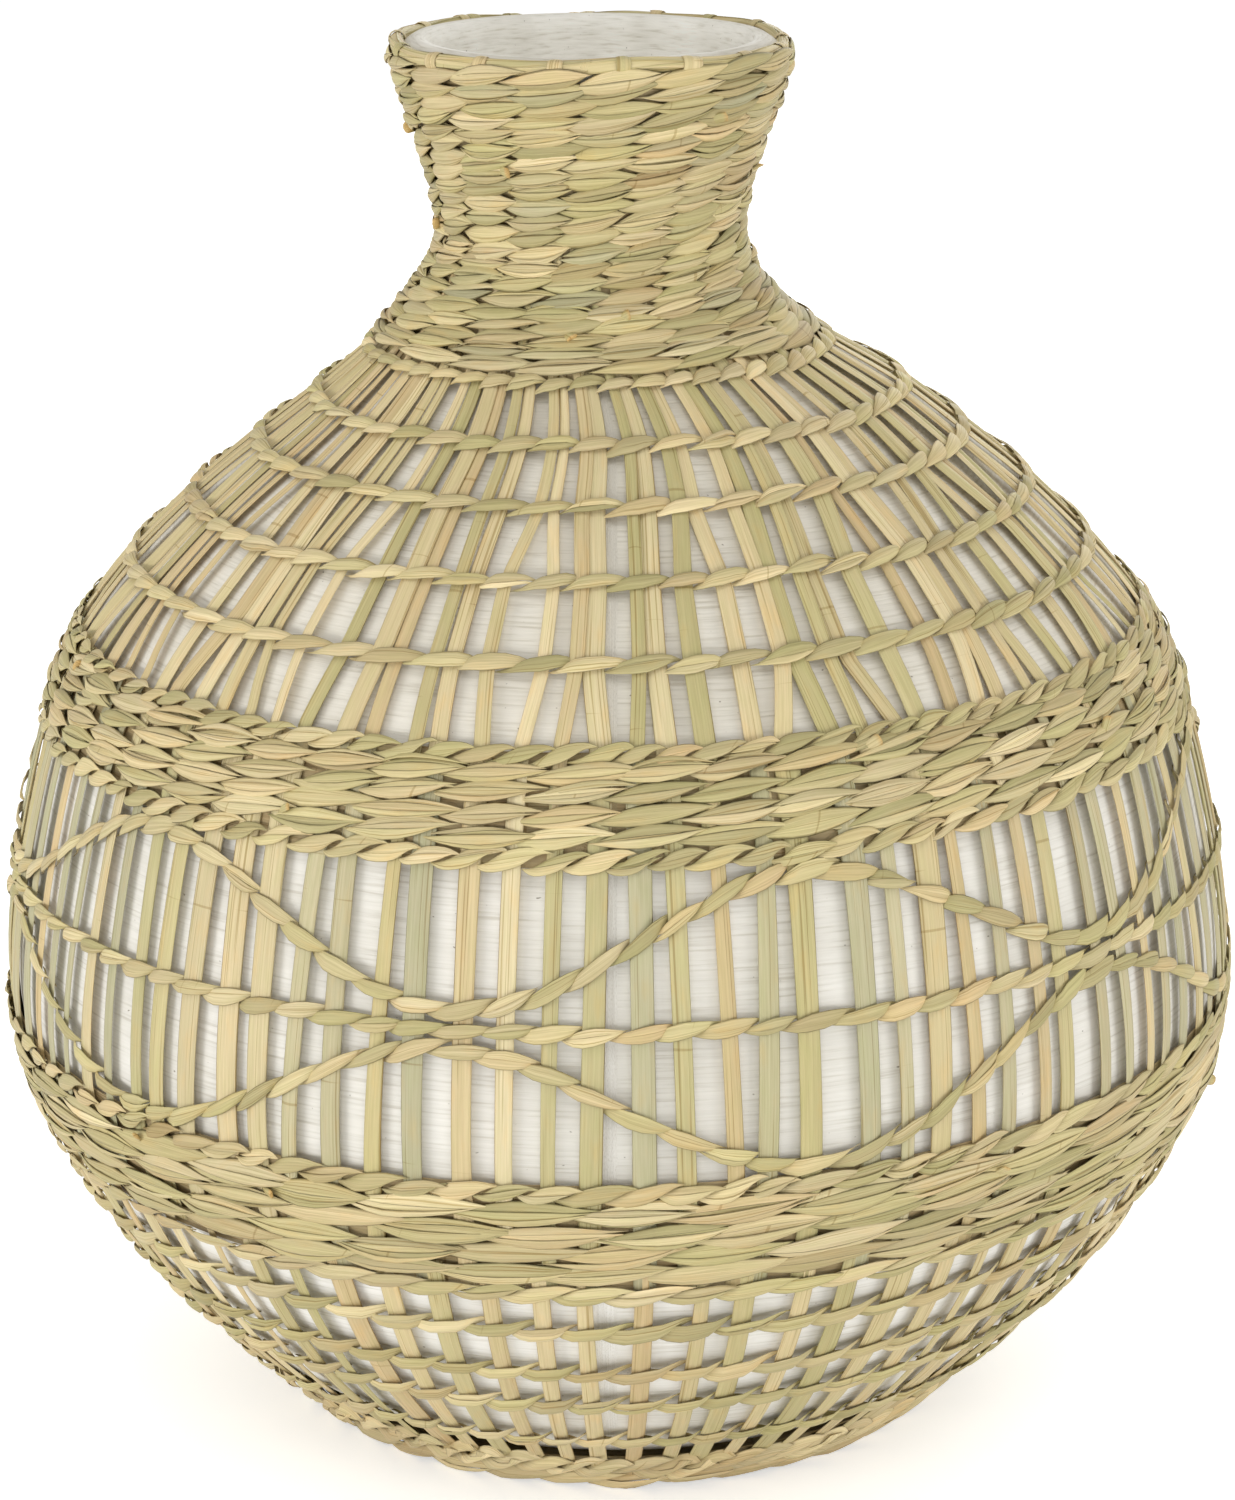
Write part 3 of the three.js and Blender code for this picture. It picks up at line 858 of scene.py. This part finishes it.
# The hoop's middle, from the outer edge and from the middle of its solid
RIM_INSET = 3.4
RIM_DROP = 0.8
RIM_SIDES = 144

# The strands of the hoop, and the wraps of the lashing
RIM_STRANDS = 5
STRAND_HALF_WIDTH = 1.6
STRAND_REACH = 1.2
RIM_WRAPS = 17
WRAP_WIDTHS = 2.6, 3.8
WRAP_REACH = 2.1
WRAP_STEPS = 20
DOUBLE_WRAPS = 0.25

rim_low, rim_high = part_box("rim_hoop")
rim_radius = (rim_high.x - rim_low.x) / 2 / MM - RIM_INSET
rim_height = (rim_high.z + rim_low.z) / 2 / MM - RIM_DROP


def hoop(angle, out, up):
    """A point by the rim hoop, so far outwards and so far up from the middle of its section."""
    wobble = 0.5 * np.sin(3 * angle + 1.0) + 0.3 * np.sin(7 * angle)
    return place(angle, rim_radius + out, rim_height + up + wobble)


def make_hoop():
    """A bundle of strands, twisted loosely."""
    weave = Weave()
    angle = full_turn(RIM_SIDES)[:, None]
    across = ACROSS[None, :] * STRAND_HALF_WIDTH
    reach = STRAND_REACH + 0.5 * (1 - ACROSS**2)[None, :] - 0.6 * BEHIND[None, :]
    for turn in np.arange(RIM_STRANDS) * 2 * np.pi / RIM_STRANDS:
        twist = turn + angle + 0.35 * np.sin(5 * angle + turn)
        out = reach * np.cos(twist) - across * np.sin(twist)
        up = reach * np.sin(twist) + across * np.cos(twist)
        fibre = fibre_of(across, angle * 50, rng.uniform(*STRIP_NUMBERS))
        weave.add(hoop(angle, out, up), pick_tint(BLADE_SHARES), fibre, loop=True)
    weave.piece("rim_hoop_bundle", dry_blade, "seagrass_rim", "rim_hoop")


def make_lashing():
    """Wraps round the hoop, some of them doubled."""
    weave = Weave()
    around = np.linspace(-0.25, 1.2, WRAP_STEPS)[:, None] * 2 * np.pi
    reach = WRAP_REACH + 0.2 * (1 - ACROSS**2)[None, :] - 0.35 * BEHIND[None, :]
    out, up = reach * np.cos(around), reach * np.sin(around)
    for turn_angle in ring_of(RIM_WRAPS, 0.14):
        for _ in range(1 + rng.choice(2, p=[1 - DOUBLE_WRAPS, DOUBLE_WRAPS])):
            width = rng.uniform(*WRAP_WIDTHS)
            across = ACROSS[None, :] * width / 2
            slant = rng.normal(0.35, 0.25) * around / (2 * np.pi) + rng.normal(0, 0.02)
            angle = turn_angle + (across + slant * 2.2) / rim_radius
            fibre = fibre_of(across, around * 2.4, rng.uniform(*STRIP_NUMBERS))
            weave.add(hoop(angle, out, up)[:, ::-1], pick_tint(WRAP_SHARES), fibre)
            turn_angle += width * 0.8 / rim_radius
    weave.piece("rim_lashing_wraps", dry_strand, "seagrass_rim", "rim_lashing")


make_hoop()
make_lashing()


# Clay vessel

CLAY_SIDES = 144
CORNER_STEPS = 12
WALL_STEPS = 80
# The belly's wash is the clay's own tone; the foot's is lighter as painted light
foot_wash_painted_light, belly_wash = srgb(250, 248, 242), srgb(234, 231, 223)
# The shoulder's wash is darker as painted shade
shoulder_wash_painted_shade, mouth_wash_painted_light = srgb(229, 224, 212), srgb(255, 252, 243)

# Heights over which the wash changes from the belly to the foot, lighter there as painted light, and to the
# shoulder, darker there as painted shade
TO_FOOT_PAINTED_LIGHT = 110, 70
TO_SHOULDER_PAINTED_SHADE = 190, 215


def vessel_profile(depth, floor):
    """Points from the middle of the bottom, round the lower corner and up to the lip."""
    wall_r, wall_z = profile_point(np.array(CLAY_CORNER), depth)
    next_r, next_z = profile_point(np.array(CLAY_CORNER + 3), depth)
    bend_r = wall_r - (next_r - wall_r) / (next_z - wall_z) * (wall_z - floor)
    t = np.linspace(0, 1, CORNER_STEPS)
    corner_r = (1 - t) ** 2 * CLAY_FOOT_RADIUS + 2 * t * (1 - t) * bend_r + t**2 * wall_r
    corner_z = (1 - t) ** 2 * floor + 2 * t * (1 - t) * floor + t**2 * wall_z
    side_r, side_z = profile_point(np.linspace(CLAY_CORNER + 4, MOUTH + CLAY_LIP, WALL_STEPS), depth)
    bottom = np.array([[1.0, floor], [30, floor]])
    return np.concatenate([bottom, np.stack([corner_r, corner_z], 1), np.stack([side_r, side_z], 1)])


def make_vessel():
    """A hollow turned body with a rounded lip."""
    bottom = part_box("vessel")[0].z / MM
    outer = vessel_profile(CLAY_DEPTH, bottom)
    inner = vessel_profile(CLAY_DEPTH - CLAY_WALL, bottom + CLAY_FLOOR)[::-1]
    lip = (outer[-1] + inner[0]) / 2 + np.array([0, CLAY_LIP_CROWN])
    section = np.concatenate([outer, lip[None, :], inner])
    steps = np.linalg.norm(np.diff(section, axis=0), axis=1)
    around = np.concatenate([[0], np.cumsum(steps)])
    angle = full_turn(CLAY_SIDES)[:, None]
    height = section[:, 1:]
    # Painted light towards the foot, then painted shade towards the shoulder
    wash_with_painted_light_and_shade = belly_wash + (foot_wash_painted_light - belly_wash) * smoothstep(*TO_FOOT_PAINTED_LIGHT, height)
    wash_with_painted_light_and_shade = wash_with_painted_light_and_shade + (shoulder_wash_painted_shade - wash_with_painted_light_and_shade) * smoothstep(*TO_SHOULDER_PAINTED_SHADE, height)
    inside = np.arange(len(section)) > len(outer)
    # The whole inside takes the mouth's wash, lighter than the outside as painted light
    tint = np.where(inside[:, None], mouth_wash_painted_light, wash_with_painted_light_and_shade)
    weave = Weave()
    grid = place(angle, section[None, :, 0], section[None, :, 1])
    weave.add(grid, tint[None], fibre_of(around[None, :], angle * 130, 1.0), loop=True)
    weave.piece("vessel_clay", lime_wash, "whitewashed_clay", "vessel")


make_vessel()


# Floor, light and camera, in metres

PAPER = 0.93
PAPER_GLOW = 0.52
SKY = 0.56
FLOOR_HALF = 8
LIGHT_AIM = Vector((0, 0, 0.168))
CAMERA_PLACE = 0, -1.0296, 0.48665
CAMERA_AIM = Vector((0, 0, 0.16794))
CAMERA_LENS = 99.04


def paper():
    """White paper that glows a little where it is seen, but not as a light on the vase."""
    material, tree, shader = nodes_of("paper")
    shader.inputs["Base Color"].default_value = (PAPER, PAPER, PAPER, 1)
    shader.inputs["Roughness"].default_value = 1.0
    shader.inputs["Specular IOR Level"].default_value = 0.0
    glow = tree.nodes.new("ShaderNodeEmission")
    glow.inputs["Strength"].default_value = PAPER_GLOW
    lit = tree.nodes.new("ShaderNodeAddShader")
    seen = tree.nodes.new("ShaderNodeMixShader")
    rays = tree.nodes.new("ShaderNodeLightPath")
    mirrored = tree.nodes.new("ShaderNodeMath")
    shown = tree.nodes.new("ShaderNodeMath")
    shown.use_clamp = True
    link(tree, rays, "Is Glossy Ray", mirrored, 0)
    link(tree, rays, "Is Transmission Ray", mirrored, 1)
    link(tree, rays, "Is Camera Ray", shown, 0)
    link(tree, mirrored, "Value", shown, 1)
    link(tree, shader, "BSDF", lit, 0)
    link(tree, glow, "Emission", lit, 1)
    link(tree, shown, "Value", seen, 0)
    link(tree, shader, "BSDF", seen, 1)
    link(tree, lit, "Shader", seen, 2)
    link(tree, seen, "Shader", tree.nodes["Material Output"], "Surface")
    return material


def make_floor():
    mesh = bpy.data.meshes.new("floor")
    corners = [(x * FLOOR_HALF, y * FLOOR_HALF, 0) for x, y in ((-1, -1), (1, -1), (1, 1), (-1, 1))]
    mesh.from_pydata(corners, [], [(0, 1, 2, 3)])
    floor = bpy.data.objects.new("floor", mesh)
    bpy.context.scene.collection.objects.link(floor)
    mesh.materials.append(paper())


def make_sky():
    world = bpy.data.worlds.new("studio")
    bpy.context.scene.world = world
    world.use_nodes = True
    background = world.node_tree.nodes["Background"]
    background.inputs["Color"].default_value = (1, 1, 1, 1)
    background.inputs["Strength"].default_value = SKY


def aim(obj, spot, target):
    obj.location = spot
    obj.rotation_euler = (target - obj.location).to_track_quat("-Z", "Y").to_euler()
    bpy.context.scene.collection.objects.link(obj)


def area_light(name, spot, width, height, watts):
    data = bpy.data.lights.new(name, "AREA")
    data.shape = "RECTANGLE"
    data.size = width
    data.size_y = height
    data.energy = watts
    aim(bpy.data.objects.new(name, data), spot, LIGHT_AIM)


def make_camera():
    data = bpy.data.cameras.new("camera")
    data.sensor_width = 36
    data.lens = CAMERA_LENS
    camera = bpy.data.objects.new("camera", data)
    aim(camera, CAMERA_PLACE, CAMERA_AIM)
    bpy.context.scene.camera = camera


make_floor()
make_sky()

# Lamps: place, width, height and watts
area_light("left", (-1.7, -1.1, 0.25), 1.2, 0.44, 15.6)
area_light("right", (1.7, -1.0, 0.25), 1.2, 0.44, 11)
area_light("front", (0.0, -2.0, 0.18), 1.4, 0.32, 5.5)
area_light("top", (0.0, -1.0, 1.85), 1.2, 1.2, 6.5)
area_light("back", (0.5, 1.9, 0.9), 1.3, 1.3, 14)

make_camera()
bpy.context.scene.view_settings.view_transform = "Standard"
